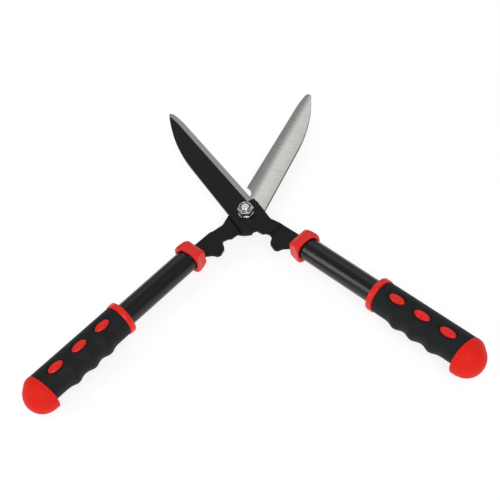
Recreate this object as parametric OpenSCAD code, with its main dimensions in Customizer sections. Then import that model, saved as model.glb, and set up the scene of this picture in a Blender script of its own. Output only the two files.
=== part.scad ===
// Grass shears, lying open with the blades along +Y and the handles towards -Y.
// The origin is on the pivot axis, at the flat underside of the bolt head. Units are millimetres.
// The upper blade ends in the right handle, and the lower blade in the left one.

/* [Opening] */
// Angle that each half is turned from the closed position, in degrees
half_open = 27; // [5:1:35]
// Angle by which both blades lean to the left of the handles' centre line, in degrees
blade_lean = 1.8; // [0:0.1:3]

/* [Blades] */
// Thickness of the sheet steel
steel_t = 3; // [2.6:0.1:3.4]
// Distance from the pivot to the tip of the upper blade
upper_reach = 195; // [180:1:215]
// Distance from the pivot to the tip of the lower blade
lower_reach = 201; // [180:1:220]
// Distance from the pivot axis to the straight back of a blade
spine_x = 17.4; // [16:0.1:19]
// Distance from the pivot axis to the cutting edge at its heel
heel_x = 16.2; // [15:0.1:17]
// Angle by which the cutting edge runs in towards the back, in degrees
edge_taper = 1.7; // [0:0.1:3]
// Width of the ground bevel along the cutting edge
bevel_w = 7; // [5:0.5:9]
// Steel left at the cutting edge
edge_t = 0.5; // [0.3:0.1:1]
// Radius of the branch notch at the heel of the lower blade
notch_r = 9.3; // [6:0.1:10]
// Radius of the round steel around the pivot
hub_r = 29.5; // [27:0.5:31]

/* [Pivot] */
// Diameter of the bolt's plain shank
bolt_d = 10; // [9:0.5:11]
// Width of the bolt head and the nut across their flats
hex_af = 16; // [15:0.5:18]
// Height of the bolt head
head_h = 6.9; // [5:0.1:7]
// Outer diameter of both washers
washer_d = 18; // [17:0.5:22]
// Thickness of both washers
washer_t = 1; // [0.8:0.1:2]
// Height of the nut's hexagon
nut_hex_h = 6; // [5:0.2:8]
// Height of the round collar above the hexagon, which holds the nylon ring
nut_collar_h = 2.6; // [2:0.2:3.4]
// Radial running clearance of the pivot
pivot_clearance = 0.05; // [0.02:0.01:0.1]

/* [Handles] */
// Angle between a handle and the closed shears' centre line, in degrees
handle_angle = 17.3; // [15:0.1:20]
// Distance by which a handle's axis passes outside the pivot axis
handle_offset = 6.3; // [5:0.1:8]
// Outer diameter of the steel tube
tube_d = 25.4; // [25:0.1:26]
// Wall of the steel tube
tube_wall = 1.2; // [1:0.1:1.5]
// Distance from the pivot to the start of the collar, along the handle
collar_s = 72; // [71:0.5:74]
// Length of the collar
collar_l = 16; // [15:0.5:18]
// Distance from the pivot to the start of the grip's front ring
ring_s = 182.5; // [180:0.5:185]
// Width of the front ring
ring_w = 7; // [6:0.5:8]
// Diameter of the front ring
ring_d = 37.6; // [37:0.1:39]
// Outer diameter of the rubber sleeve
grip_d = 35.4; // [35:0.1:36.5]
// Length of the rubber sleeve
grip_l = 107; // [104:1:110]
// Radius of the domed end cap
cap_r = 20.8; // [20.5:0.1:22]

/* [Hidden] */
$fn = 64;

// A cut reaches this far past the face it opens
past = 1;
// Half the gap between the two blades
half_gap = 0.05;
// Clearance of a pressed or glued fit
snug = 0.05;

// Height of the plane where the two blades slide on each other
plane_z = head_h + washer_t + steel_t + half_gap;
washer_bore_d = bolt_d + 0.2;
// A 45 degree cone cuts the bolt head's corners. It starts this far inside the flats.
head_chamfer = 0.6;
nut_washer_z = plane_z + half_gap + steel_t + half_gap;
nut_z = nut_washer_z + washer_t;
thread_d = bolt_d - 0.2;
bolt_top = nut_z + nut_hex_h + nut_collar_h + 0.4;
bolt_end_chamfer = 0.8;
nut_collar_d = hex_af - 1.4;
insert_d = 12.4;
insert_h = nut_collar_h - 0.6;

// The cutting edge is straight from the heel to where the tip starts to round
heel_y = 17;
tip_l = 28;
edge_arc_r = 140;
bevel_end_r = 4;

// The tang is cranked down by half the steel, so that both handles lie in one plane
crank_s = 39;
crank_l = 4;
tang_neck_w = 15;
tang_end_s = 118;
pin_s = collar_s + 11.8;
pin_d = 5;

tube_s = collar_s + 7;
tube_bore_d = tube_d - 2 * tube_wall;
sleeve_s = ring_s + ring_w;
sleeve_end_s = sleeve_s + grip_l;
tube_end_s = sleeve_end_s - 4;
core_d = 29;
core_bore_d = tube_d + 2 * snug;
// Chamfer on both edges of the front ring
ring_edge = 0.8;

// Finger ridges, each a ring set in: distances from the sleeve's start, ring radius, section radius and shift
ridge_at = [30, 51.5, 74.5];
ridge_r = grip_d / 2 - 0.3;
ridge_section_r = 8;
ridge_shift = 3.7;

// Oval islands: distances from the sleeve's start, and the angle by which they lie inwards of the top
island_at = [21, 52.6, 84.6];
island_turn = 5;
// Half the length and half the width of an island, and the gap between it and the rubber
island_a = 9.4;
island_b = 5.4;
island_gap = 0.4;

// The end cap's ball: its centre along the handle, and how far it is set in towards the other handle
cap_centre_s = sleeve_end_s + 2.2;
cap_shift = 5;
cap_rim_r = cap_r - 1;
spigot_l = 25;

steel_black = "#2b2c29";
steel_ground = "#b4b5ae";
zinc = "#c3c6c8";
coated_black = "#232323";
plastic_red = "#dd3229";
rubber_black = "#222625";

function turned(p, a) = [p[0] * cos(a) - p[1] * sin(a), p[0] * sin(a) + p[1] * cos(a)];
function arc(c, r, a0, a1, n) =
    [for (i = [0:n]) c + r * [cos(a0 + (a1 - a0) * i / n), sin(a0 + (a1 - a0) * i / n)]];
function ellipse(a, b, n) = [for (i = [0:n - 1]) [a * cos(360 * i / n), b * sin(360 * i / n)]];

// A point of the cutting edge's own frame, whose +Y runs along the edge from the heel
function edge_point(p) = [heel_x, heel_y] + turned(p, edge_taper);
function edge_straight(reach) = reach - tip_l - heel_y;

// A point of a handle: s along its axis from the pivot, o outwards from the axis
function handle_point(s, o) = turned([handle_offset + o, -s], handle_angle);

// ---- Placing ----

module right_half() {
    rotate([0, 0, half_open]) children();
}

module left_half() {
    mirror([1, 0, 0]) right_half() children();
}

// Draws along a handle: +Z runs away from the pivot, +X outwards and +Y up
module along_handle(s) {
    rotate([0, 0, handle_angle])
        translate([handle_offset, -s, plane_z])
            rotate([90, 0, 0]) children();
}

module pipe(outer_d, inner_d, h) {
    difference() {
        cylinder(d = outer_d, h = h);
        translate([0, 0, -past]) cylinder(d = inner_d, h = h + 2 * past);
    }
}

module hexagon(af, h) {
    cylinder(d = af / cos(30), h = h, $fn = 6);
}

// ---- Blade and tang, one stamping ----

module blade_outline(reach, spine_arc_l, spine_arc_r, tip_r) {
    edge_turn = asin((tip_l - tip_r) / edge_arc_r);
    spine_turn = asin((spine_arc_l - tip_r) / spine_arc_r);
    tip = [5.1, reach - tip_r];
    polygon(concat(
        [[-spine_x, -2], [heel_x + 1.6, -2], [heel_x + 1.6, heel_y - 6], [heel_x, heel_y]],
        [for (p = arc([-edge_arc_r, edge_straight(reach)], edge_arc_r, 1, edge_turn, 6)) edge_point(p)],
        arc(tip, tip_r, 30, 150, 6),
        arc([spine_arc_r - spine_x, reach - spine_arc_l], spine_arc_r, 180 - spine_turn, 180, 10)
    ));
}

module hub_outline() {
    intersection() {
        circle(r = hub_r);
        translate([-spine_x - 0.4, -hub_r]) square([spine_x + 0.4 + heel_x + 2, hub_r + 8]);
    }
}

module tang_outline() {
    polygon([
        [heel_x + 2, -8], [16.6, -20], [26, -39],
        handle_point(collar_s - 0.1, 7.7), handle_point(collar_s - 0.1, tang_neck_w / 2),
        handle_point(tang_end_s, tang_neck_w / 2), handle_point(tang_end_s, -tang_neck_w / 2),
        handle_point(collar_s - 0.1, -tang_neck_w / 2), handle_point(collar_s - 0.1, -11.8),
        [9, -66.2], [3, -65.6], [0.5, -62.5], [0.5, -54.4], [2.5, -51], [6, -47.6], [6.8, -44.5], [6.4, -41.8],
        [4, -38.6], [0.3, -36.6], [-1.2, -33], [-3, -29]
    ]);
}

// The bevel's cut across the edge: x from the edge, y up from the inner face
module bevel_section() {
    slope = (steel_t - edge_t) / bevel_w;
    polygon([[-bevel_w - 2, steel_t + 2 * slope], [3, edge_t - 3 * slope], [3, steel_t + 3]]);
}

module bevel_cut(reach) {
    run = edge_straight(reach) + bevel_end_r;
    translate([heel_x, heel_y, 0]) rotate([0, 0, edge_taper]) {
        translate([0, run - bevel_end_r, 0]) rotate([90, 0, 0]) linear_extrude(run) bevel_section();
        translate([-edge_arc_r, run - bevel_end_r, 0])
            rotate_extrude(angle = 15, $fn = 180) translate([edge_arc_r, 0]) bevel_section();
    }
}

// Lies on its inner face at z = 0, with the cutting edge on its right
module stamping(reach, spine_arc_l, spine_arc_r, tip_r, lean, notched) {
    difference() {
        union() {
            linear_extrude(steel_t) {
                rotate([0, 0, lean]) blade_outline(reach, spine_arc_l, spine_arc_r, tip_r);
                hub_outline();
                intersection() {
                    tang_outline();
                    rotate([0, 0, handle_angle]) translate([-60, -crank_s - crank_l]) square([120, 60]);
                }
            }
            translate([0, 0, -steel_t / 2 - half_gap]) linear_extrude(steel_t) intersection() {
                tang_outline();
                rotate([0, 0, handle_angle]) translate([-60, -crank_s - 120]) square([120, 120]);
            }
        }
        rotate([0, 0, lean]) bevel_cut(reach);
        translate([0, 0, -past]) cylinder(d = bolt_d + 2 * pivot_clearance, h = steel_t + 2 * past);
        rotate([0, 0, handle_angle]) translate([handle_offset, -pin_s, -steel_t - past])
            cylinder(d = pin_d + 2 * snug, h = 2 * steel_t + 2 * past);
        if (notched)
            rotate([0, 0, lean]) translate([16, 27, -past])
                cylinder(r = notch_r, h = steel_t + 2 * past);
    }
}

module upper_blade() {
    color(steel_black) translate([0, 0, plane_z + half_gap]) right_half()
        stamping(upper_reach, 97, 230, 2, blade_lean, false);
}

// The same stamping turned over, with the notch added
module lower_blade() {
    color(steel_ground) translate([0, 0, plane_z - half_gap]) rotate([0, 180, 0]) right_half()
        stamping(lower_reach, 92, 220, 4, -blade_lean, true);
}

// ---- Pivot ----

module pivot_bolt() {
    head_r = hex_af / 2 - head_chamfer;
    color(zinc) {
        intersection() {
            hexagon(hex_af, head_h);
            cylinder(r1 = head_r, r2 = head_r + head_h, h = head_h);
        }
        cylinder(d = bolt_d, h = nut_washer_z + washer_t / 2);
        cylinder(d = thread_d, h = bolt_top - bolt_end_chamfer);
        translate([0, 0, bolt_top - bolt_end_chamfer])
            cylinder(d1 = thread_d, d2 = thread_d - 2 * bolt_end_chamfer, h = bolt_end_chamfer);
    }
}

module head_washer() {
    color(zinc) translate([0, 0, head_h]) pipe(washer_d, washer_bore_d, washer_t);
}

module nut_washer() {
    color(zinc) translate([0, 0, nut_washer_z]) pipe(washer_d, washer_bore_d, washer_t);
}

module pivot_nut() {
    bore_d = thread_d + 2 * snug;
    color(zinc) translate([0, 0, nut_z]) difference() {
        union() {
            hexagon(hex_af, nut_hex_h);
            cylinder(d = nut_collar_d, h = nut_hex_h + nut_collar_h);
        }
        translate([0, 0, -past]) cylinder(d = bore_d, h = nut_hex_h + nut_collar_h + 2 * past);
        translate([0, 0, nut_hex_h + nut_collar_h - insert_h]) cylinder(d = insert_d, h = insert_h + past);
    }
}

module nut_insert() {
    color("#d8d4c4") translate([0, 0, nut_z + nut_hex_h + nut_collar_h - insert_h])
        pipe(insert_d - 2 * snug, thread_d + 2 * snug, insert_h - 0.5);
}

// ---- One handle, drawn for the right half of the closed shears ----

module tang_plug() {
    color("#4a4a4a") along_handle(tube_s) difference() {
        cylinder(d = tube_bore_d - 2 * snug, h = tang_end_s + 2 - tube_s);
        translate([-tang_neck_w / 2 - snug, -steel_t / 2 - snug, -past])
            cube([tang_neck_w + 2 * snug, steel_t + 2 * snug, tang_end_s - tube_s + past + snug]);
        translate([0, 0, pin_s - tube_s]) rotate([90, 0, 0])
            cylinder(d = pin_d + 2 * snug, h = tube_d, center = true);
    }
}

module tang_pin() {
    color(zinc) along_handle(pin_s) rotate([90, 0, 0]) cylinder(d = pin_d, h = tube_d - 0.6, center = true);
}

module tube() {
    color(coated_black) along_handle(tube_s) difference() {
        pipe(tube_d, tube_bore_d, tube_end_s - tube_s);
        translate([0, 0, pin_s - tube_s]) rotate([90, 0, 0])
            cylinder(d = pin_d + 2 * snug, h = tube_d + 2 * past, center = true);
    }
}

// A rounded block that flares into an oval mouth around the tube
module collar() {
    block_w = 26;
    block_h = 18;
    corner_r = 3.5;
    waist_z = 2.5;
    throat_z = 7;
    throat_d = 28.2;
    mouth_d = 29.4;
    mouth_x = 1.2;
    lip_h = 1.4;
    color(plastic_red) along_handle(collar_s) difference() {
        union() {
            hull() {
                for (x = [-1, 1], y = [-1, 1])
                    translate([x * (block_w / 2 - corner_r), y * (block_h / 2 - corner_r), 0])
                        cylinder(r = corner_r, h = waist_z, $fn = 32);
                translate([0, 0, throat_z]) cylinder(d = throat_d, h = 1);
            }
            hull() {
                translate([0, 0, throat_z]) cylinder(d = throat_d, h = 1);
                for (x = [-mouth_x, mouth_x])
                    translate([x, 0, collar_l - lip_h]) cylinder(d = mouth_d, h = lip_h);
            }
        }
        translate([0, 0, tube_s - collar_s - 0.3]) cylinder(d = core_bore_d, h = collar_l);
        translate([0, 0, collar_l - lip_h]) cylinder(d = tube_d + 1.8, h = collar_l);
        translate([-tang_neck_w / 2 - snug, -steel_t / 2 - snug, -past])
            cube([tang_neck_w + 2 * snug, steel_t + 2 * snug, collar_l]);
    }
}

module island(at, half_l, half_w, top_r, h) {
    rotate([0, 0, island_turn]) intersection() {
        translate([0, 0, at]) rotate([-90, 0, 0])
            linear_extrude(h) polygon(ellipse(half_w, half_l, 28));
        translate([0, 0, at - 2 * half_l]) cylinder(r = top_r, h = 4 * half_l);
    }
}

module grip_core() {
    color(plastic_red) along_handle(ring_s) difference() {
        union() {
            cylinder(d1 = ring_d - 2 * ring_edge, d2 = ring_d, h = ring_edge);
            translate([0, 0, ring_edge]) cylinder(d = ring_d, h = ring_w - 2 * ring_edge);
            translate([0, 0, ring_w - ring_edge])
                cylinder(d1 = ring_d, d2 = ring_d - 2 * ring_edge, h = ring_edge);
            cylinder(d = core_d, h = ring_w + grip_l);
            for (at = island_at)
                island(ring_w + at, island_a, island_b, grip_d / 2 - 0.2, ring_d / 2);
        }
        translate([0, 0, -past]) cylinder(d = core_bore_d, h = ring_w + grip_l + 2 * past);
    }
}

module grip_sleeve() {
    color(rubber_black) along_handle(sleeve_s) difference() {
        union() {
            cylinder(d = grip_d, h = grip_l);
            for (at = ridge_at)
                translate([-ridge_shift, 0, at])
                    rotate_extrude() translate([ridge_r - ridge_section_r, 0]) circle(r = ridge_section_r);
        }
        translate([0, 0, -past]) cylinder(d = core_d + 2 * snug, h = grip_l + 2 * past);
        for (at = island_at)
            island(at, island_a + island_gap, island_b + island_gap, ring_d, ring_d);
    }
}

module end_cap() {
    color(plastic_red) along_handle(sleeve_end_s) {
        intersection() {
            union() {
                translate([-cap_shift, 0, cap_centre_s - sleeve_end_s]) sphere(r = cap_r);
                translate([grip_d / 2 - cap_rim_r, 0, 0]) cylinder(r = cap_rim_r, h = cap_centre_s - sleeve_end_s);
            }
            translate([-2 * cap_r, -2 * cap_r, 0]) cube(4 * cap_r);
        }
        translate([0, 0, -spigot_l]) cylinder(d = tube_bore_d - 2 * snug, h = spigot_l + 1);
    }
}

lower_blade();
upper_blade();
pivot_bolt();
head_washer();
nut_washer();
pivot_nut();
nut_insert();
right_half() tang_plug();  // right_tang_plug
left_half() tang_plug();  // left_tang_plug
right_half() tang_pin();  // right_tang_pin
left_half() tang_pin();  // left_tang_pin
right_half() tube();  // right_tube
left_half() tube();  // left_tube
right_half() collar();  // right_collar
left_half() collar();  // left_collar
right_half() grip_core();  // right_grip_core
left_half() grip_core();  // left_grip_core
right_half() grip_sleeve();  // right_grip_sleeve
left_half() grip_sleeve();  // left_grip_sleeve
right_half() end_cap();  // right_end_cap
left_half() end_cap();  // left_end_cap
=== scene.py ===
"""Grass shears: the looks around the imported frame, laid out as a Blender add-on.

The two halves are mirror twins in their handles. Each handle piece is drawn along its own handle,
with +Z away from the pivot, +X outwards and +Y up. It is then placed on the right or the left half.
"""

from math import asin, atan2, cos, exp, hypot, pi, radians, sin, sqrt, tan

import bmesh
import bpy
from bpy.props import FloatProperty, FloatVectorProperty, PointerProperty
from mathutils import Matrix, Vector


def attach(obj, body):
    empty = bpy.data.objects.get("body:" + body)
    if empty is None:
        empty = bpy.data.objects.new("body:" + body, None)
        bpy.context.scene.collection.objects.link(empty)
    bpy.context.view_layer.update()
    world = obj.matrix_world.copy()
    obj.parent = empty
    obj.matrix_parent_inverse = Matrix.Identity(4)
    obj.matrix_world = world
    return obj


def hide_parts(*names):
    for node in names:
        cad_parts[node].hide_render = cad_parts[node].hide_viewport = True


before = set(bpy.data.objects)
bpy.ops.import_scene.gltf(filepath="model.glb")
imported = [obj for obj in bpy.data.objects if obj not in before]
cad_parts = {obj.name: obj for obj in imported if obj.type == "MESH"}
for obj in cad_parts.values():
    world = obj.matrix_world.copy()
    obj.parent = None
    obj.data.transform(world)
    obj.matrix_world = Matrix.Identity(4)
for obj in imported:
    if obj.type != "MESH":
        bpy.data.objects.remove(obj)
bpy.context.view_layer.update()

bl_info = {
    "name": "Grass shears",
    "version": (1, 0, 0),
    "blender": (4, 5, 0),
    "location": "3D View > Sidebar > Shears",
    "description": "Builds the detailed pieces, materials and stage of a pair of grass shears",
    "category": "Add Mesh",
}

MM = 0.001
SIDES = ("right", "left")
BODY = {"right": "upper_half", "left": "lower_half"}
# In degrees: each blade is turned by half the opening, and both lean a little to the left.
HALF_OPENING, LEAN = 27, 1.8
UPPER_TURN = radians(HALF_OPENING + LEAN)
LOWER_TURN = radians(HALF_OPENING - LEAN)
# Slopes of the collar's mouth and of the joint of sleeve and cap, both longer on the outer side
MOUTH_SLANT = tan(radians(7))
END_SLANT = tan(radians(5))
# Angle by which the islands lie inwards of the top
ISLAND_TURN = radians(5)
# A moulding hole on the left sleeve: its angle round the grip, distance from the start and radius
PIT = (radians(169.5), 0.0756, 0.0018)
# Distances of the islands and of the ridges' crests from the sleeve's start
ISLANDS = (0.021, 0.0526, 0.0846)
CRESTS = (0.030, 0.0515, 0.0745)
# Gap between parts that fit, and the distance within which two vertices are one
FIT = 0.0001
MERGE = 2e-6
# The camera: its height angle, turn and roll, its distance, and its shift to the right and up
CAMERA_ANGLES = (radians(50), radians(-6.575), radians(10.436))
CAMERA_DISTANCE = 1.2
CAMERA_SHIFT = (4.025 * MM, -40 * MM)
CAMERA_LENS = 77.76
# The floor lies below the lowest piece, and the lights point at the middle of the shears.
FLOOR_Z = -0.012
MIDDLE = (0, -0.05, 0)


def linear(code):
    """The linear colour, with alpha, of an sRGB hex code."""
    parts = [int(code[i : i + 2], 16) / 255 for i in (1, 3, 5)]
    return (*(p / 12.92 if p <= 0.04045 else ((p + 0.055) / 1.055) ** 2.4 for p in parts), 1.0)


# ---- Sizes and colours ----


def length(name, description, millimetres):
    return FloatProperty(
        name=name, description=description, default=millimetres * MM, unit="LENGTH", precision=4
    )


def colour(name, description, code):
    return FloatVectorProperty(
        name=name,
        description=description,
        default=linear(code)[:3],
        subtype="COLOR",
        size=3,
        min=0,
        max=1,
    )


class ShearsSizes(bpy.types.PropertyGroup):
    """Sizes of the detailed pieces"""

    half_turn: FloatProperty(
        name="Handle turn",
        description="Angle between a handle and the centre line, as the shears lie open",
        default=radians(44.3),
        subtype="ANGLE",
    )
    handle_offset: length("Handle offset", "How far a handle's axis passes outside the pivot", 6.3)
    plane_z: length("Blade plane", "Height of the plane where the blades slide", 10.95)
    steel: length("Steel", "Thickness of the blades", 3)
    tube_r: length("Tube radius", "Outer radius of the tubes", 12.7)
    collar_at: length("Collar start", "Distance from the pivot to the collar", 72)
    collar_length: length("Collar length", "Length of the collar along the handle", 16)
    ring_at: length("Ring start", "Distance from the pivot to the grip's front ring", 182.5)
    ring_width: length("Ring width", "Width of the front ring", 7)
    ring_r: length("Ring radius", "Radius of the front ring", 18.8)
    grip_r: length("Grip radius", "Radius of the rubber sleeve", 17.7)
    grip_length: length("Grip length", "Length of the rubber sleeve", 107)
    core_r: length("Core radius", "Radius of the plastic core under the rubber", 14.55)
    ridge_height: length("Ridge height", "How far a finger ridge stands out on the inner side", 3.3)
    ridge_spread: length("Ridge spread", "How far from its crest a ridge is a third as high", 6.6)
    island_half_length: length("Island half length", "Half the length of a red island", 9.4)
    island_half_width: length("Island half width", "Half the width of a red island", 5.4)
    cap_r: length("Cap radius", "Radius of the domed end cap", 20.8)
    cap_in: length("Cap shift", "How far the cap's ball is set in towards the other handle", 5)
    cap_centre: length("Cap centre", "Distance from the sleeve's end to the ball's centre", 2.2)


class ShearsColours(bpy.types.PropertyGroup):
    """Colours of the materials"""

    paint: colour("Blade paint", "Black paint on the blades and tangs", "#0d0e0b")
    # The next two are lit and shaded tones of one ground steel: painted light towards the back of a
    # face, painted shade along its cutting edge.
    ground_steel_painted_lit: colour("Ground steel", "Ground steel near the back of the lower blade", "#dcdcd7")
    ground_steel_painted_shade: colour("Hollow ground steel", "Ground steel along the cutting edge", "#7f807e")
    bevel: colour("Bevel steel", "Ground bevel of the upper blade", "#c4c5c0")
    zinc: colour("Zinc", "Zinc plate on the bolt and the nut", "#c9ccce")
    nylon: colour("Nylon", "Insert of the lock nut", "#2a2c2d")
    tube: colour("Tube coating", "Gloss black coating of the tubes", "#080808")
    red: colour("Red plastic", "Moulded red plastic", "#e0221a")
    rubber: colour("Rubber", "Black rubber of the sleeves", "#121617")
    floor: colour("Floor", "Plain floor", "#949494")


def sizes():
    return bpy.context.scene.shears_sizes


def colours():
    return bpy.context.scene.shears_colours


# ---- Materials ----


def add_node(tree, kind, links=None, **settings):
    """Adds a node. settings are its properties. links are its inputs, each a socket or a value."""
    node = tree.nodes.new(kind)
    for name, value in settings.items():
        setattr(node, name, value)
    for name, value in (links or {}).items():
        if isinstance(value, bpy.types.NodeSocket):
            tree.links.new(value, node.inputs[name])
        else:
            node.inputs[name].default_value = value
    return node


def new_material(name, **shader):
    """A material with one shader. Its values are set on the shader's own sockets."""
    material = bpy.data.materials.new(name)
    material.use_nodes = True
    tree = material.node_tree
    tree.nodes.clear()
    surface = add_node(tree, "ShaderNodeBsdfPrincipled")
    for socket, value in shader.items():
        surface.inputs[socket.replace("_", " ")].default_value = value
    add_node(tree, "ShaderNodeOutputMaterial", {"Surface": surface.outputs["BSDF"]})
    if "Base_Color" in shader:
        material.diffuse_color = shader["Base_Color"]
    return material, tree, surface


def opaque(rgb):
    return (rgb[0], rgb[1], rgb[2], 1.0)


def grain_bump(tree, surface, scale, strength, distance, detail=2.0):
    """Fine relief from noise of the given scale, in waves per metre, and distance, in metres."""
    place = add_node(tree, "ShaderNodeTexCoord").outputs["Object"]
    noise = add_node(
        tree, "ShaderNodeTexNoise", {"Vector": place, "Scale": scale, "Detail": detail}
    )
    bump = add_node(
        tree,
        "ShaderNodeBump",
        {"Height": noise.outputs["Fac"], "Strength": strength, "Distance": distance},
    )
    tree.links.new(bump.outputs["Normal"], surface.inputs["Normal"])


def blade_coordinates(tree, turn, mirrored):
    """Object coordinates turned so that +Y runs along a blade and +X points at its cutting edge."""
    place = add_node(tree, "ShaderNodeTexCoord").outputs["Object"]
    mapping = add_node(
        tree,
        "ShaderNodeMapping",
        {"Vector": place, "Rotation": (0, 0, -turn), "Scale": (-1 if mirrored else 1, 1, 1)},
    )
    return mapping.outputs["Vector"]


def painted_steel():
    # Steel sprayed with semi-gloss black paint: a soft broad sheen with 1.5 mm orange peel.
    material, tree, surface = new_material(
        "semi_gloss_black_paint_on_steel",
        Base_Color=opaque(colours().paint),
        Roughness=0.36,
        Specular_IOR_Level=0.16,
    )
    grain_bump(tree, surface, scale=650.0, strength=0.12, distance=0.0002)
    return material


def ground_steel(name, turn, mirrored, light, dark, steps):
    """Bare steel with a soft broad gleam. steps gives its painted light and shade, a tone at each
    distance across the blade.
    """
    material, tree, surface = new_material(name, Metallic=1.0, Roughness=0.36)
    across = blade_coordinates(tree, turn, mirrored)
    # Grinding marks run across the blade, about 0.6 mm apart and 14 mm long.
    per_length, per_width = 1700.0, 70.0
    stretch = (per_width, per_length, per_width)
    stretched = add_node(tree, "ShaderNodeMapping", {"Vector": across, "Scale": stretch})
    marks = add_node(
        tree,
        "ShaderNodeTexNoise",
        {"Vector": stretched.outputs["Vector"], "Scale": 1.0, "Detail": 3.0},
    )
    position = add_node(tree, "ShaderNodeSeparateXYZ", {"Vector": across})
    low, high = steps[0][0], steps[-1][0]
    share = add_node(
        tree,
        "ShaderNodeMapRange",
        {"Value": position.outputs["X"], "From Min": low, "From Max": high},
    )
    # Painted light and shade: the colour runs between the lit and the shaded steel across the
    # blade.
    ramp = add_node(tree, "ShaderNodeValToRGB", {"Fac": share.outputs["Result"]})
    points = ramp.color_ramp.elements
    while len(points) < len(steps):
        points.new(0.5)
    for point, (at, tone) in zip(points, steps):
        point.position = (at - low) / (high - low)
        point.color = opaque([d + (l - d) * tone for d, l in zip(dark, light)])
    marks_tone = add_node(
        tree,
        "ShaderNodeMapRange",
        {
            "Value": marks.outputs["Fac"],
            "From Min": 0.3,
            "From Max": 0.7,
            "To Min": 0.82,
            "To Max": 1.08,
        },
    )
    tinted = add_node(
        tree,
        "ShaderNodeVectorMath",
        {0: ramp.outputs["Color"], "Scale": marks_tone.outputs["Result"]},
        operation="SCALE",
    )
    tree.links.new(tinted.outputs["Vector"], surface.inputs["Base Color"])
    bump = add_node(
        tree,
        "ShaderNodeBump",
        {"Height": marks.outputs["Fac"], "Strength": 0.15, "Distance": 0.0001},
    )
    tree.links.new(bump.outputs["Normal"], surface.inputs["Normal"])
    return material


def zinc_plate():
    # Bright zinc plate on turned and forged steel: bluish white metal, a little blotchy.
    material, tree, surface = new_material(
        "bright_zinc_plated_steel", Base_Color=opaque(colours().zinc), Metallic=1.0, Roughness=0.27
    )
    grain_bump(tree, surface, scale=420.0, strength=0.25, distance=0.0003, detail=3.0)
    return material


def moulded_nylon():
    # Nylon in a dark grey: a dark matt ring.
    material, tree, surface = new_material(
        "dark_matt_nylon", Base_Color=opaque(colours().nylon), Roughness=0.6
    )
    grain_bump(tree, surface, scale=500.0, strength=0.2, distance=0.0001)
    return material


def tube_coating():
    # Steel tube dipped in gloss black PVC: a thin bright line of light along it.
    material, tree, surface = new_material(
        "gloss_black_coated_steel_tube",
        Base_Color=opaque(colours().tube),
        Roughness=0.25,
        Specular_IOR_Level=0.4,
    )
    grain_bump(tree, surface, scale=160.0, strength=0.04, distance=0.0002, detail=1.0)
    return material


def red_plastic(name, roughness, shine):
    # Injection-moulded polypropylene: satin collars and rings, and caps worn duller by hands.
    material, tree, surface = new_material(
        name,
        Base_Color=opaque(colours().red),
        Roughness=roughness,
        Specular_IOR_Level=shine,
    )
    grain_bump(tree, surface, scale=900.0, strength=0.05, distance=0.0001)
    return material


def soft_rubber():
    # Overmoulded soft TPE rubber with a spark-eroded skin of about 0.7 mm: no clear highlights.
    material, tree, surface = new_material(
        "soft_black_tpe_rubber",
        Base_Color=opaque(colours().rubber),
        Roughness=0.66,
        Specular_IOR_Level=0.24,
    )
    grain_bump(tree, surface, scale=1400.0, strength=0.3, distance=0.0002)
    return material


def make_materials():
    c = colours()
    light, dark = c.ground_steel_painted_lit, c.ground_steel_painted_shade
    # Distances across the blade, from its back to its cutting edge, and the share of the light tone
    # there. Painted shade: an inner face is darker along the two fifths of its width by the cutting
    # edge, where its hollow grind turns from the light, and a little darker at its very back.
    face = [(-0.0178, 0.3), (-0.0166, 0.75), (-0.008, 0.95)]
    face += [(-0.001, 1.0), (0.006, 0.2), (0.0165, 0.0)]
    strip = [(0.0, 0.6), (0.009, 1.0), (0.0165, 0.8)]
    upper, lower = (UPPER_TURN, False), (LOWER_TURN, True)
    return {
        "paint": painted_steel(),
        "face": ground_steel("ground_steel_face_painted_shade", *lower, light, dark, face),
        "bevel": ground_steel("ground_bare_steel_bevel", *upper, c.bevel, dark, strip),
        "under_bevel": ground_steel("ground_bare_steel_under_bevel", *lower, c.bevel, dark, strip),
        "under_face": ground_steel("ground_steel_under_face_painted_shade", *upper, light, dark, face),
        "zinc": zinc_plate(),
        "nylon": moulded_nylon(),
        "tube": tube_coating(),
        "red": red_plastic("satin_red_polypropylene", 0.34, 0.3),
        "dull_red": red_plastic("dull_red_polypropylene", 0.5, 0.1),
        "rubber": soft_rubber(),
    }


MATERIALS = {}


def material(key):
    if not MATERIALS:
        MATERIALS.update(make_materials())
    return MATERIALS[key]


# ---- Meshes ----


def handle_matrix(side, station):
    """Places a piece drawn along a handle, starting at that distance from the pivot."""
    s = sizes()
    right = (
        Matrix.Rotation(s.half_turn, 4, "Z")
        @ Matrix.Translation((s.handle_offset, -station, s.plane_z))
        @ Matrix.Rotation(pi / 2, 4, "X")
    )
    return right if side == "right" else Matrix.Scale(-1, 4, (1, 0, 0)) @ right


def smooth_step(low, high, value):
    t = min(1.0, max(0.0, (value - low) / (high - low)))
    return t * t * (3 - 2 * t)


def spin_profile(bm, points, steps):
    """Turns a closed outline of radii and heights about Z into a solid ring."""
    corners = [bm.verts.new((r, 0, z)) for r, z in points]
    edges = [bm.edges.new(pair) for pair in zip(corners, corners[1:] + corners[:1])]
    bmesh.ops.spin(
        bm,
        geom=corners + edges,
        cent=(0, 0, 0),
        axis=(0, 0, 1),
        dvec=(0, 0, 0),
        angle=2 * pi,
        steps=steps,
        use_merge=True,
        use_duplicate=False,
    )
    bmesh.ops.remove_doubles(bm, verts=bm.verts, dist=1e-6)


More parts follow.
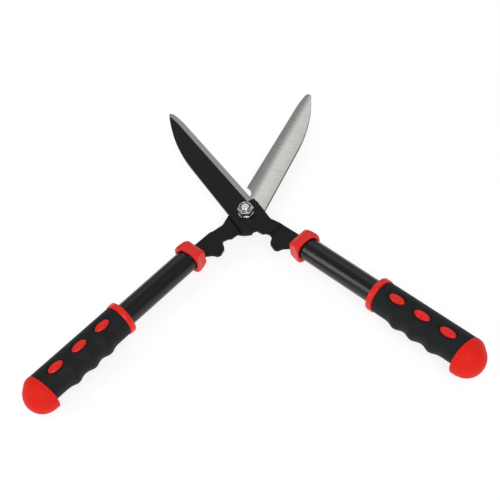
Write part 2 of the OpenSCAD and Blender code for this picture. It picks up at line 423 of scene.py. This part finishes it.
def tube_grid(bm, around, along, place):
    """An open tube of around by along faces. place(angle, share of the length) gives its points."""
    bmesh.ops.create_cone(bm, segments=around, radius1=1, radius2=1, depth=1, cap_ends=False)
    rails = [e for e in bm.edges if abs(e.verts[0].co.z - e.verts[1].co.z) > 0.5]
    bmesh.ops.subdivide_edges(bm, edges=rails, cuts=along - 1, use_grid_fill=True)
    for v in bm.verts:
        v.co = place(atan2(v.co.y, v.co.x), v.co.z + 0.5)


def cut_across(bm, place, direction, **settings):
    """Cuts every face that the plane through that place meets."""
    everything = bm.verts[:] + bm.edges[:] + bm.faces[:]
    bmesh.ops.bisect_plane(
        bm, geom=everything, plane_co=place, plane_no=direction, dist=1e-6, **settings
    )


def bevel_sharp(bm, width, segments, degrees):
    """Rounds every edge that turns by more than the given angle."""
    inner = [e for e in bm.edges if len(e.link_faces) == 2]
    sharp = [e for e in inner if e.calc_face_angle(0) > radians(degrees)]
    bmesh.ops.bevel(
        bm,
        geom=sharp,
        offset=width,
        offset_type="OFFSET",
        segments=segments,
        profile=0.5,
        affect="EDGES",
        clamp_overlap=True,
        material=-1,
    )


def add_piece(bm, name, body, nodes, slot, materials, smooth=32, recalculate=True):
    """Turns a bmesh into a finished piece that rides on a body and stands for CAD nodes.

    Edges that turn by more than smooth, in degrees, stay sharp.
    """
    if not bm.faces:
        raise RuntimeError(f"{name} has no faces")
    if recalculate:
        bmesh.ops.recalc_face_normals(bm, faces=bm.faces)
    mesh = bpy.data.meshes.new(name)
    bm.to_mesh(mesh)
    bm.free()
    for key in materials:
        mesh.materials.append(material(key))
    mesh.shade_smooth()
    mesh.set_sharp_from_angle(angle=radians(smooth))
    piece = bpy.data.objects.new(name, mesh)
    bpy.context.scene.collection.objects.link(piece)
    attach(piece, body)
    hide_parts(*nodes)
    return piece


def add_handle_piece(bm, side, node, finish, slot, key, **settings):
    """A finished piece of one handle, which stands for that side's CAD node."""
    name = f"{side}_{node}"
    add_piece(bm, f"{name}_{finish}", BODY[side], [name], slot, [key], **settings)


def copy_of(node):
    """The merged mesh of a CAD node, with its flat faces whole."""
    bm = bmesh.new()
    bm.from_mesh(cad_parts[node].data)
    bmesh.ops.remove_doubles(bm, verts=bm.verts, dist=MERGE)
    bmesh.ops.dissolve_limit(bm, angle_limit=radians(0.4), verts=bm.verts, edges=bm.edges)
    return bm


# ---- Operators ----


def blade_point(co, turn, mirrored):
    """A point in a blade's own frame: x towards its cutting edge, y along it."""
    x = -co.x if mirrored else co.x
    return x * cos(turn) + co.y * sin(turn), -x * sin(turn) + co.y * cos(turn)


def bend_crank(bm, outer):
    """Turns the step of the CAD tang, a lap of two flat plates, into a smooth bend."""
    s = sizes()
    # Height of the bend, and the distances from the pivot between which it lies
    drop, start, end = 0.00155, 0.039, 0.047
    # Gap between a blade and the plane where the blades slide, and the error allowed in a height
    gap, error = 0.00005, 0.00002
    along = Vector((outer * sin(s.half_turn), -cos(s.half_turn), 0))
    for v in bm.verts:
        level = outer * (v.co.z - s.plane_z) - gap
        for lowered, flat in ((-drop, 0), (s.steel - drop, s.steel)):
            if v.co.dot(along) > start - FIT and abs(level - lowered) < error:
                v.co.z += outer * (flat - level)
    bmesh.ops.remove_doubles(bm, verts=bm.verts, dist=1e-5)
    cuts = 12
    for i in range(cuts + 1):
        at = start + (end - start) * i / cuts
        cut_across(bm, along * at, along)
    for v in bm.verts:
        v.co.z -= outer * drop * smooth_step(start, end, v.co.dot(along))


def build_blade(name, body, turn, mirrored, keys):
    """One stamping: black paint, a ground bevel on the outer face and a ground inner face."""
    bm = copy_of(name)
    outer = -1 if mirrored else 1
    bend_crank(bm, outer)
    # The ground part of the inner face stops a little past the pivot, and the rest is painted.
    ground_from = 0.006
    end = Vector((-sin(turn) * outer, cos(turn), 0))
    cut_across(bm, end * ground_from, end)
    bevel_sharp(bm, 0.00022, segments=2, degrees=30)
    paint, bevel, inner = range(3)
    # The bevel leans by 15 to 25 degrees. The cutting edge is upright and far from the middle line.
    bevel_from, edge_from, edge_side = 0.004, 0.018, 0.009
    for face in bm.faces:
        x, y = blade_point(face.calc_center_median(), turn, mirrored)
        tilt = face.normal.z * outer
        on_bevel = 0.90 < tilt < 0.965 and x > 0 and y > bevel_from
        on_edge = abs(tilt) < 0.3 and x > edge_side and y > edge_from
        if on_bevel or on_edge:
            face.material_index = bevel
        elif tilt < -0.98 and y > ground_from:
            face.material_index = inner
        else:
            face.material_index = paint
    slot = name + "_steel"
    add_piece(bm, name + "_ground", body, [name], slot, keys, smooth=14, recalculate=False)


class SHEARS_OT_blades(bpy.types.Operator):
    """Build the two blades with their ground faces"""

    bl_idname = "shears.blades"
    bl_label = "Blades"

    def execute(self, context):
        upper, lower = ["paint", "bevel", "under_face"], ["paint", "under_bevel", "face"]
        build_blade("upper_blade", "upper_half", UPPER_TURN, False, upper)
        build_blade("lower_blade", "lower_half", LOWER_TURN, True, lower)
        return {"FINISHED"}


class SHEARS_OT_pivot(bpy.types.Operator):
    """Build the bolt, the lock nut and its nylon ring"""

    bl_idname = "shears.pivot"
    bl_label = "Pivot"

    def execute(self, context):
        for node, key, slot, width in (
            ("pivot_nut", "zinc", "zinc_steel", 0.0005),
            ("pivot_bolt", "zinc", "zinc_steel", 0.0004),
            ("head_washer", "zinc", "zinc_steel", 0.0002),
            ("nut_washer", "zinc", "zinc_steel", 0.0002),
            ("nut_insert", "nylon", "nylon", 0.0002),
        ):
            bm = copy_of(node)
            bevel_sharp(bm, width, segments=3, degrees=25)
            add_piece(bm, node + "_finished", "lower_half", [node], slot, [key], recalculate=False)
        return {"FINISHED"}


class SHEARS_OT_collars(bpy.types.Operator):
    """Build the red collars where the tangs enter the tubes"""

    bl_idname = "shears.collars"
    bl_label = "Collars"

    def execute(self, context):
        s = sizes()
        long = s.collar_length
        # Distance along the collar, and its half width, half height and squareness there
        stations = (
            (0.0, 0.0128, 0.0096, 14.0),
            (0.0050, 0.0134, 0.0128, 12.0),
            (0.0090, 0.0140, 0.0138, 9.0),
            (0.0125, 0.0150, 0.0142, 6.0),
            (long, 0.0158, 0.0146, 3.6),
        )
        # The mouth is a little wider than the tube. The tang's opening ends where the tube does.
        lip, mouth_r, bore = 0.0018, s.tube_r + 0.0010, s.tube_r + FIT
        tube_end, opening_r = 0.0066, 0.0075
        # The outside starts as a cylinder of this radius.
        blank_r, rows = 0.0165, 30
        profile = [(blank_r, i / rows * long) for i in range(rows + 1)]
        profile += [(mouth_r, long), (mouth_r, long - lip), (bore, long - lip), (bore, tube_end)]
        profile += [(opening_r, tube_end), (opening_r, 0.0)]
        for side in SIDES:
            bm = bmesh.new()
            spin_profile(bm, profile, 144)
            for v in bm.verts:
                radius, turn = hypot(v.co.x, v.co.y), atan2(v.co.y, v.co.x)
                if radius > (blank_r + mouth_r) / 2:
                    a, b, n = self.section(stations, v.co.z)
                    reach = ((abs(cos(turn)) / a) ** n + (abs(sin(turn)) / b) ** n) ** (-1 / n)
                    v.co.x, v.co.y = reach * cos(turn), reach * sin(turn)
                # The mouth is cut at a slant, which fades out towards the collar's start.
                v.co.z += MOUTH_SLANT * v.co.x * smooth_step(0.007, 0.0135, v.co.z)
            bevel_sharp(bm, 0.0004, segments=2, degrees=50)
            bm.transform(handle_matrix(side, s.collar_at))
            add_handle_piece(bm, side, "collar", "moulded", "red_plastic", "red")
        return {"FINISHED"}

    @staticmethod
    def section(stations, z):
        """Half width, half height and squareness at height z, between the stations."""
        for (z0, *low), (z1, *high) in zip(stations, stations[1:]):
            if z <= z1 + 1e-9:
                t = max(0.0, z - z0) / (z1 - z0)
                return [p + (q - p) * t for p, q in zip(low, high)]
        return list(stations[-1][1:])


class SHEARS_OT_cores(bpy.types.Operator):
    """Build the red front rings and the oval islands of the grips"""

    bl_idname = "shears.cores"
    bl_label = "Rings and islands"

    def execute(self, context):
        s = sizes()
        r, w, bore = s.ring_r, s.ring_width, s.tube_r + FIT
        # Rounding of the ring's edges, and the stub that reaches under the sleeve
        edge, stub, stub_r = 0.0009, 0.02, s.core_r - 0.0004
        profile = [(bore, 0), (r - edge, 0), (r - 0.3 * edge, 0.3 * edge), (r, edge), (r, w - edge)]
        profile += [(r - 0.3 * edge, w - 0.3 * edge), (r - edge, w), (stub_r, w)]
        profile += [(stub_r, w + stub), (bore, w + stub)]
        for side in SIDES:
            bm = bmesh.new()
            spin_profile(bm, profile, 96)
            for station in ISLANDS:
                self.add_island(bm, s, w + station)
            bm.transform(handle_matrix(side, s.ring_at))
            add_handle_piece(bm, side, "grip_core", "moulded", "red_plastic", "red", smooth=40)
        return {"FINISHED"}

    @staticmethod
    def add_island(bm, s, station):
        """A low oval pillow that follows the curve of the grip."""
        # Radii of its widest line and of its top, and its depth below the widest line
        base, top, depth = s.grip_r - 0.0028, s.grip_r - 0.0005, 0.001
        made = bmesh.ops.create_uvsphere(bm, u_segments=48, v_segments=24, radius=1)
        for v in made["verts"]:
            x, y, z = v.co
            # The powers fill out the ball's sides and flatten its top.
            spread = min(1.0, hypot(x, y)) ** 0.8
            rise = (abs(z) ** 0.6) * (1 if z > 0 else -1)
            turn = atan2(y, x)
            radius = base + (top - base) * max(0.0, rise) + depth * min(0.0, rise)
            angle = pi / 2 + ISLAND_TURN + s.island_half_width * spread * cos(turn) / s.grip_r
            height = station + s.island_half_length * spread * sin(turn)
            v.co = (radius * cos(angle), radius * sin(angle), height)


class SHEARS_OT_sleeves(bpy.types.Operator):
    """Build the rubber sleeves with finger ridges and a recess round each island"""

    bl_idname = "shears.sleeves"
    bl_label = "Sleeves"

    def execute(self, context):
        s = sizes()
        rows = 208
        for side in SIDES:
            bm = bmesh.new()
            pits = [PIT] if side == "left" else []
            tube_grid(
                bm,
                144,
                rows,
                lambda angle, share: self.skin(s, angle, round(share * rows), rows, pits),
            )
            ends = [e for e in bm.edges if e.is_boundary]
            bmesh.ops.bridge_loops(bm, edges=ends)
            bm.transform(handle_matrix(side, s.ring_at + s.ring_width))
            add_handle_piece(bm, side, "grip_sleeve", "moulded", "grip_rubber", "rubber", smooth=50)
        return {"FINISHED"}

    @staticmethod
    def skin(s, angle, row, rows, pits):
        """A point of the sleeve. The first and the last row lie on its bore."""
        z = (row - 1) / (rows - 2) * s.grip_length
        z = min(s.grip_length, max(0.0, z))
        if row in (0, rows):
            radius = s.core_r + FIT
            return Vector((radius * cos(angle), radius * sin(angle), z))
        radius = s.grip_r
        # Finger ridges stand out on the inner side and fade round the grip.
        inward = max(0.0, -cos(angle)) ** 1.3
        for crest in CRESTS:
            radius += s.ridge_height * inward * exp(-(((z - crest) / s.ridge_spread) ** 2))
        # Each island lies in a recess that is a little larger than it.
        margin, recess_depth = 0.0014, 0.0026
        for centre in ISLANDS:
            u = (z - centre) / (s.island_half_length + margin)
            v = s.grip_r * (angle - pi / 2 - ISLAND_TURN) / (s.island_half_width + margin)
            radius -= recess_depth * (1 - smooth_step(0.88, 1.08, hypot(u, v)))
        pit_depth = 0.0014
        for pit_angle, pit_z, pit_r in pits:
            away = hypot(radius * (angle - pit_angle), z - pit_z)
            radius -= pit_depth * (1 - smooth_step(0.6 * pit_r, pit_r, away))
        # Both ends are rounded with this radius.
        edge = 0.0009
        near = min(z, s.grip_length - z)
        if near < edge:
            radius -= edge - sqrt(edge**2 - (edge - near) ** 2)
        # The far end is cut at a slant, a little longer on the outer side.
        slanted = smooth_step(s.grip_length - 0.02, s.grip_length - 0.001, z)
        slant = END_SLANT * radius * cos(angle) * slanted
        return Vector((radius * cos(angle), radius * sin(angle), z + slant))


class SHEARS_OT_caps(bpy.types.Operator):
    """Build the domed end caps"""

    bl_idname = "shears.caps"
    bl_label = "End caps"

    def execute(self, context):
        s = sizes()
        for side in SIDES:
            bm = bmesh.new()
            tube_grid(bm, 96, 72, lambda angle, share: self.dome(s, angle, share))
            bmesh.ops.remove_doubles(bm, verts=bm.verts, dist=1e-5)
            rim = [e for e in bm.edges if e.is_boundary]
            bmesh.ops.contextual_create(bm, geom=rim)
            bm.transform(handle_matrix(side, s.ring_at + s.ring_width + s.grip_length))
            add_handle_piece(bm, side, "end_cap", "moulded", "red_plastic", "dull_red")
        return {"FINISHED"}

    @staticmethod
    def dome(s, angle, share):
        """A point of the cap: a short rim flush with the sleeve's outer side, then the ball."""
        # Radius of the rim's edge, and the share of the rows that lie on it
        edge, edge_share = 0.0008, 0.1
        foot = asin((s.cap_centre - edge) / s.cap_r)
        if share < edge_share:
            turn = share / edge_share * pi / 2
            z = edge * (1 - cos(turn))
            inset = edge * (1 - sin(turn))
        else:
            turn = (share - edge_share) / (1 - edge_share) * (pi / 2 + foot)
            z = s.cap_centre + s.cap_r * sin(turn - foot)
            inset = 0
        # A fine groove sets off a thin rim beside the sleeve.
        groove_at, groove_half_width, groove_depth = 0.0030, 0.0009, 0.0005
        groove = groove_depth * max(0.0, 1 - abs(z - groove_at) / groove_half_width)
        ball = sqrt(max(0.0, s.cap_r**2 - (z - s.cap_centre) ** 2)) - groove
        inner = -s.cap_in - ball
        rim_share = 1 - smooth_step(0.002, 0.014, z)
        outer = (-s.cap_in + ball) * (1 - rim_share) + max(s.grip_r, -s.cap_in + ball) * rim_share
        half = max(0.0, (outer - inner) / 2 - inset)
        high = max(0.0, ball - inset)
        x = (outer + inner) / 2 + half * cos(angle)
        slant = END_SLANT * x * (1 - smooth_step(0.0, 0.016, z))
        return Vector((x, high * sin(angle), z + slant))


class SHEARS_OT_tubes(bpy.types.Operator):
    """Build the coated tubes, with clean faces beyond the collars"""

    bl_idname = "shears.tubes"
    bl_label = "Tubes"

    def execute(self, context):
        s = sizes()
        # The pin's holes lie under the collar. The tube is drawn anew in straight faces, from just
        # under the collar's end to a little before the sleeve's end.
        start = s.collar_at + s.collar_length - 0.0008
        end = s.ring_at + s.ring_width + s.grip_length - 0.004
        for side in SIDES:
            bm = copy_of(side + "_tube")
            cut = handle_matrix(side, start)
            along = cut.to_3x3() @ Vector((0, 0, 1))
            cut_across(bm, cut.translation, along, clear_outer=True)
            rims = [e for e in bm.edges if e.is_boundary]
            grown = bmesh.ops.extrude_edge_only(bm, edges=rims)["geom"]
            far_verts = [item for item in grown if isinstance(item, bmesh.types.BMVert)]
            bmesh.ops.translate(bm, verts=far_verts, vec=along * (end - start))
            bmesh.ops.bridge_loops(bm, edges=[e for e in bm.edges if e.is_boundary])
            add_handle_piece(bm, side, "tube", "coated", "tube_coating", "tube")
        return {"FINISHED"}


class SHEARS_OT_plain_nodes(bpy.types.Operator):
    """Give the CAD nodes that are kept their materials"""

    bl_idname = "shears.plain_nodes"
    bl_label = "Plugs and pins"

    def execute(self, context):
        for side in SIDES:
            for part, key in (("tang_plug", "nylon"), ("tang_pin", "zinc")):
                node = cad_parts[f"{side}_{part}"]
                node.data.materials.clear()
                node.data.materials.append(material(key))
                node.data.shade_smooth()
                node.data.set_sharp_from_angle(angle=radians(30))
        return {"FINISHED"}


# ---- Stage ----


def camera_axes():
    """The camera's right, up and forward directions in the row frame."""
    height, turn, roll = CAMERA_ANGLES
    spin = Matrix.Rotation(turn, 3, "Z")
    tip = Matrix(((1, 0, 0), (0, sin(height), cos(height)), (0, cos(height), -sin(height))))
    level = Matrix(((cos(roll), -sin(roll), 0), (sin(roll), cos(roll), 0), (0, 0, 1)))
    return level @ tip @ spin


def add_area_light(name, place, width, height, power):
    """A soft rectangular light that points at the middle of the shears."""
    data = bpy.data.lights.new(name, "AREA")
    data.shape = "RECTANGLE"
    data.size = width
    data.size_y = height
    data.energy = power
    light = bpy.data.objects.new(name, data)
    bpy.context.scene.collection.objects.link(light)
    light.location = place
    light.rotation_euler = (Vector(MIDDLE) - Vector(place)).to_track_quat("-Z", "Y").to_euler()


class SHEARS_OT_stage(bpy.types.Operator):
    """Set up the camera, the soft light and the floor"""

    bl_idname = "shears.stage"
    bl_label = "Stage"

    def execute(self, context):
        scene = context.scene
        axes = camera_axes()
        data = bpy.data.cameras.new("view")
        data.lens = CAMERA_LENS
        data.sensor_width = 36
        data.clip_end = 20
        camera = bpy.data.objects.new("view", data)
        scene.collection.objects.link(camera)
        pivot = Vector((0, 0, sizes().plane_z))
        place = pivot + axes.transposed() @ Vector((*CAMERA_SHIFT, -CAMERA_DISTANCE))
        turn = Matrix((axes[0], axes[1], -axes[2])).transposed()
        camera.matrix_world = Matrix.Translation(place) @ turn.to_4x4()
        scene.camera = camera

        bm = bmesh.new()
        bmesh.ops.create_grid(bm, x_segments=1, y_segments=1, size=6)
        bmesh.ops.translate(bm, verts=bm.verts, vec=(0, 0, FLOOR_Z))
        mesh = bpy.data.meshes.new("floor")
        bm.to_mesh(mesh)
        bm.free()
        # A white acrylic table, lit a little from below: fully matt, and its shadows stay pale.
        acrylic, _, _ = new_material(
            "matt_white_acrylic_light_table",
            Base_Color=opaque(colours().floor),
            Roughness=1.0,
            Specular_IOR_Level=0.0,
            Emission_Color=(1, 1, 1, 1),
            Emission_Strength=0.78,
        )
        mesh.materials.append(acrylic)
        floor = bpy.data.objects.new("floor", mesh)
        scene.collection.objects.link(floor)

        world = bpy.data.worlds.new("studio")
        world.use_nodes = True
        background = world.node_tree.nodes["Background"]
        background.inputs["Color"].default_value = (1, 1, 1, 1)
        background.inputs["Strength"].default_value = 0.42
        scene.world = world
        scene.view_settings.view_transform = "Standard"
        add_area_light("key", (0.35, -1.3, 1.5), width=1.2, height=1.2, power=18)
        add_area_light("left_strip", (-1.15, -0.4, 0.68), width=0.13, height=0.9, power=3.2)
        add_area_light("back", (0.15, 1.0, 1.2), width=1.5, height=0.9, power=2.6)
        return {"FINISHED"}


class SHEARS_PT_panel(bpy.types.Panel):
    """Sizes, colours and build steps"""

    bl_idname = "SHEARS_PT_panel"
    bl_label = "Grass shears"
    bl_space_type = "VIEW_3D"
    bl_region_type = "UI"
    bl_category = "Shears"

    def draw(self, context):
        for group in (context.scene.shears_sizes, context.scene.shears_colours):
            box = self.layout.box()
            for name in group.__annotations__:
                box.prop(group, name)
        for step in STEPS:
            self.layout.operator(step.bl_idname)


STEPS = (
    SHEARS_OT_stage,
    SHEARS_OT_blades,
    SHEARS_OT_pivot,
    SHEARS_OT_collars,
    SHEARS_OT_cores,
    SHEARS_OT_sleeves,
    SHEARS_OT_caps,
    SHEARS_OT_tubes,
    SHEARS_OT_plain_nodes,
)
CLASSES = (ShearsSizes, ShearsColours) + STEPS + (SHEARS_PT_panel,)


def register():
    for item in CLASSES:
        bpy.utils.register_class(item)
    bpy.types.Scene.shears_sizes = PointerProperty(type=ShearsSizes)
    bpy.types.Scene.shears_colours = PointerProperty(type=ShearsColours)


def unregister():
    del bpy.types.Scene.shears_colours
    del bpy.types.Scene.shears_sizes
    for item in reversed(CLASSES):
        bpy.utils.unregister_class(item)


def main():
    register()
    for step in STEPS:
        group, name = step.bl_idname.split(".")
        getattr(getattr(bpy.ops, group), name)()


if __name__ == "__main__":
    main()
